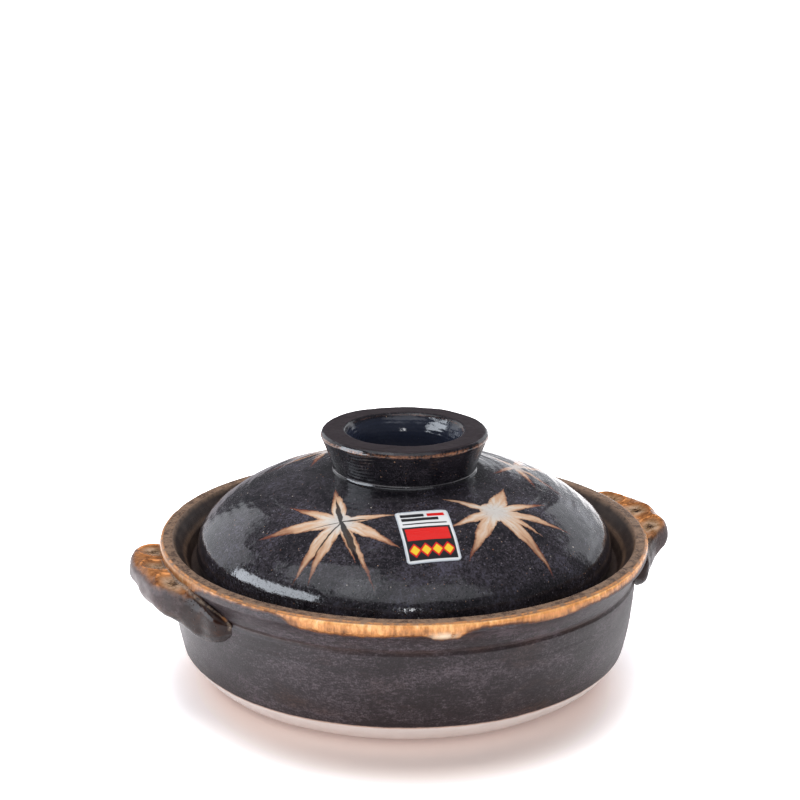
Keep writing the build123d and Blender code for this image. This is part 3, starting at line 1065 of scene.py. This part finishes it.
def knob_material():
    """Black-brown glaze on the ring, rust where it thins at the edges, and faint turning marks."""
    paint = Paint("knob_glaze")
    clouds = paint.noise(9, 3, 0.65)
    fine = paint.noise(1.2, 3, 0.6)
    tone = clouds * 0.5 + fine * 0.5
    paint.colour = paint.tones(tone, ((0.44, lid_black), (0.62, lid_brown), (0.80, lid_purple)))
    for size, share, tint in ((1.1, 0.22, lid_purple), (1.3, 0.16, leaf_brown), (1.5, 0.07, leaf_tan)):
        dots, dot_pick = paint.specks(size, share)
        paint.lay(dots * dot_pick * 0.8, tint)
    top = paint.z.between(knob_top - 0.9, knob_top - 0.2)
    turning = paint.noise(0.8, 3, 0.6, paint.vector(paint.radius, paint.azimuth() * 0.05, 0.0))
    top_colour = paint.mix(turning.between(0.3, 0.7), body_dark, body_mid)
    mouth_radius = knob_radius - knob_land
    on_land = paint.radius.between(mouth_radius, mouth_radius + 2)
    paint.lay(top * on_land * 0.8, top_colour)
    well = paint.radius.between(mouth_radius + 0.5, mouth_radius - 1.5)
    paint.lay(well * 0.8, lid_blue)
    outer = paint.z.hump(knob_top - knob_edge_height + 0.3, 1.3)
    outer = outer * paint.radius.between(knob_radius - 1.6, knob_radius - 0.8)
    mouth = paint.radius.hump(mouth_radius - 0.5, 0.7) * paint.z.hump(knob_top - 0.9, 1.0)
    rust = (outer + mouth * 0.6) * fine.between(0.32, 0.65) * clouds.between(0.3, 0.55)
    paint.lay(rust * 0.7, clay_orange)
    roughness = paint.blend(top * on_land, 0.09, 0.30) + fine * 0.06
    relief = paint.noise(4, 2, 0.5) * 0.16 + fine * 0.05 + turning * top * 0.05
    return paint.finish(roughness, relief, specular=0.6)


def label_material():
    """White coated paper with a plain print: bars, a red band and a row of lozenges."""
    paint = Paint("label_print")
    uv = paint.tree.nodes.new("ShaderNodeUVMap")
    uv.uv_map = "print"
    parts = paint.tree.nodes.new("ShaderNodeSeparateXYZ")
    paint.tree.links.new(uv.outputs[0], parts.inputs[0])
    across = Field(paint.tree, parts.outputs[0]) * label_width
    up = Field(paint.tree, parts.outputs[1]) * label_length

    def strip(place, low, high):
        """1 between two places in millimetres, with softly printed edges."""
        half = (high - low) / 2
        return (place - (low + high) / 2).math("ABSOLUTE").between(half + print_softness, half)

    def block(left, end, bottom, top):
        """1 inside a rectangle given in millimetres from the label's lower left corner."""
        return strip(across, left, end) * strip(up, bottom, top)

    print_softness, margin, border = 0.08, 2.2, 0.7
    lozenge_step, lozenge_middle = 5.3, 7.2
    right = label_width - margin
    paper = paint.noise(0.6, 2, 0.5)
    paint.colour = paint.mix(paper.between(0.3, 0.7) * 0.08, paper_white, paper_edge)
    within = block(border, label_width - border, border, label_length - border)
    paint.colour = paint.mix(within, paper_edge, paint.colour)
    bars = (
        (margin, 13.6, 31.0, 33.6, ink_black),
        (15.2, right, 31.0, 33.6, ink_red),
        (margin, right - 3.4, 27.6, 30.0, ink_black),
        (margin, right, 25.0, 25.8, ink_black),
        (margin - 0.8, right + 0.8, 1.6, 23.0, ink_black),
        (margin + 0.3, right - 0.3, 13.2, 21.8, ink_red),
    )
    for left, end, bottom, top, ink in bars:
        paint.lay(block(left, end, bottom, top), ink)
    column = ((across - margin) / lozenge_step).math("FRACT") * lozenge_step - lozenge_step / 2
    lozenge = column.math("ABSOLUTE") * 1.25 + (up - lozenge_middle).math("ABSOLUTE")
    panel = block(margin, right, 2.4, 12.2)
    paint.lay(panel * lozenge.between(4.3, 4.0), ink_red)
    paint.lay(panel * lozenge.between(3.0, 2.7), ink_yellow)
    return paint.finish(paper * 0.1 + 0.30, paper * 0.01, specular=0.2)


# Stage, lights and camera

floor_half = 4000.0
floor_pale, floor_paler = (0.83, 0.83, 0.84), (0.85, 0.85, 0.86)

# Where the middle of the pot's shadow lies, how much narrower than round it is, and the shadow's radii
shadow_middle = (-9.0, -24.0)
shadow_narrowing = 1.10
shadow_core, shadow_reach = 98, 155

# Bright screens: middle azimuth, half width, lowest and highest elevation and soft edge in degrees, and level
screens = (
    (39, 25, -6, 10, 3.0, 0.68),
    (121, 21, -6, 33, 3.0, 1.0),
    (30, 16, 10, 28, 2.5, 0.95),
    (193, 36, 43, 78, 3.0, 1.2),
    (-105, 45, 36, 62, 6.0, 0.9),
)
room_level = 0.12
backdrop_level = 1.2

# Lights: azimuth and elevation in degrees, distance and size in metres, power in watts, colour,
# whether gloss mirrors them and whether they light matt surfaces
lights = {
    "window_left": (178, 11.5, 1.6, (1.60, 0.90), 34, (0.86, 0.92, 1.0), True, False),
    "front_fill": (-105, 20, 1.8, (1.2, 1.2), 5, (1.0, 0.98, 0.96), False, True),
    "overhead": (80, 68, 1.9, (1.7, 1.7), 74, (1.0, 0.985, 0.97), False, True),
    "catch_light": (-108, 14, 1.3, (0.07, 0.07), 0.4, (0.95, 0.97, 1.0), True, True),
}

# The camera's place in metres, its angles in degrees and its lens in millimetres
camera_place = Vector((-0.25281, -0.73419, 0.3481))
camera_heading, camera_pitch, camera_roll = 71.18, -15.22, 0.33
camera_lens, camera_sensor = 71.74, 36.0


def direction(azimuth, elevation):
    """The unit vector towards an azimuth and an elevation in degrees."""
    turn, rise = radians(azimuth), radians(elevation)
    return Vector((cos(turn) * cos(rise), sin(turn) * cos(rise), sin(rise)))


def make_floor():
    """A plain pale floor that glows a little, so that it stays white and only soft shadows show. Near the pot
    the glow is lower and a warm tint is laid, a painted shadow.

    Gloss mirrors it brighter at the left, and dimmer behind the pot and close to it at the right."""
    quarters = ((-1, -1), (1, -1), (1, 1), (-1, 1))
    corners = [(side * floor_half, ahead * floor_half, 0) for side, ahead in quarters]
    floor = mesh_from("floor", corners, [(0, 1, 2, 3)])
    paint = Paint("floor_white")
    path = paint.tree.nodes.new("ShaderNodeLightPath")
    seen, mirrored = (Field(paint.tree, path.outputs[name]) for name in ("Is Camera Ray", "Is Glossy Ray"))
    aside = (paint.x - shadow_middle[0]) * shadow_narrowing
    ahead = paint.y - shadow_middle[1]
    from_shadow = (aside * aside + ahead * ahead).math("SQRT")
    left = paint.x.between(-110, -230)
    dim_behind = paint.azimuth().hump(92, 42) * paint.radius.between(150, 230) * 0.9
    dim_right = paint.azimuth().hump(8, 42) * paint.radius.between(380, 300) * 0.6
    dim = mirrored * dim_behind.math("MAXIMUM", dim_right)
    paint.colour = paint.mix(paint.noise(900, 1, 0.4), floor_pale, floor_paler)
    paint.lay(from_shadow.between(138, 100) * 0.9, shadow_warm)
    paint.lay(dim, lid_grey)
    far = from_shadow.between(shadow_core, shadow_reach)
    glow = far * (seen * 0.30 + 0.40) + mirrored * left + 0.15
    paint.shader.inputs["Emission Color"].default_value = (1.0, 0.96, 1.0, 1)
    plug(paint.tree, paint.shader.inputs["Emission Strength"], glow * (dim * -1 + 1))
    floor.data.materials.append(paint.finish(0.6, 0.0, specular=0.2))


def make_world():
    """A dim room with bright screens: low ones behind the pot, a lit ceiling and a soft box before it."""
    world = bpy.data.worlds.new("studio")
    bpy.context.scene.world = world
    world.use_nodes = True
    tree = world.node_tree
    background = tree.nodes["Background"]
    coordinates = tree.nodes.new("ShaderNodeTexCoord")
    parts = tree.nodes.new("ShaderNodeSeparateXYZ")
    tree.links.new(coordinates.outputs["Generated"], parts.inputs[0])
    x, y, z = (Field(tree, socket) for socket in parts.outputs)
    elevation = z.math("ARCSINE") * degrees(1)
    level = z * 0.0 + room_level
    for middle, half_width, low, high, soft, brightness in screens:
        turn = radians(middle)
        ahead = x * cos(turn) + y * sin(turn)
        aside = y * cos(turn) - x * sin(turn)
        away = (aside.math("ARCTAN2", ahead) * degrees(1)).math("ABSOLUTE")
        wide = away.between(half_width + soft, half_width)
        tall = elevation.between(low - soft, low) * elevation.between(high + soft, high)
        level = level + wide * tall * brightness
    path = tree.nodes.new("ShaderNodeLightPath")
    seen = Field(tree, path.outputs["Is Camera Ray"])
    background.inputs["Color"].default_value = (0.92, 0.95, 1.0, 1)
    plug(tree, background.inputs["Strength"], seen * backdrop_level + level * (seen * -1 + 1))


def make_lights():
    """The soft boxes, each facing the middle of the pot."""
    aim = Vector((0, 0, pot_height / 2 * mm))
    for name, (azimuth, elevation, distance, size, power, colour, glossy, diffuse) in lights.items():
        data = bpy.data.lights.new(name, "AREA")
        data.shape = "RECTANGLE"
        data.size, data.size_y = size
        data.energy = power
        data.color = colour
        light = bpy.data.objects.new(name, data)
        bpy.context.scene.collection.objects.link(light)
        away = direction(azimuth, elevation)
        light.location = aim + away * distance
        light.rotation_euler = away.to_track_quat("Z", "Y").to_euler()
        light.visible_camera = False
        light.visible_glossy = glossy
        light.visible_diffuse = diffuse


def make_camera():
    """The photograph's camera: its place, its slight downward look, its small roll and its lens."""
    facing = direction(camera_heading, camera_pitch).to_track_quat("-Z", "Y").to_matrix()
    facing = facing @ Matrix.Rotation(radians(camera_roll), 3, "Z")
    data = bpy.data.cameras.new("camera")
    data.sensor_width, data.lens = camera_sensor, camera_lens
    data.clip_start, data.clip_end = 0.01, 100
    camera = bpy.data.objects.new("camera", data)
    bpy.context.scene.collection.objects.link(camera)
    camera.matrix_world = Matrix.Translation(camera_place) @ facing.to_4x4()
    bpy.context.scene.camera = camera


def dress(piece, material, body, node):
    """Gives a piece its material and its body, and hides the solid that it stands for."""
    piece.data.materials.clear()
    piece.data.materials.append(material)
    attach(piece, body)
    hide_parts(node)


make_camera()
dress(make_pot(), pot_material(), "pot", "pot_body")
dress(make_lug(-1), lug_material(-1), "pot", "handle_left")
dress(make_lug(1), lug_material(1), "pot", "handle_right")
dress(make_lid(), lid_material(), "lid", "lid_shell")
dress(make_knob(), knob_material(), "lid", "lid_knob")
dress(make_label(), label_material(), "lid", "label_sticker")
make_floor()
make_world()
make_lights()
bpy.context.scene.view_settings.view_transform = "Standard"
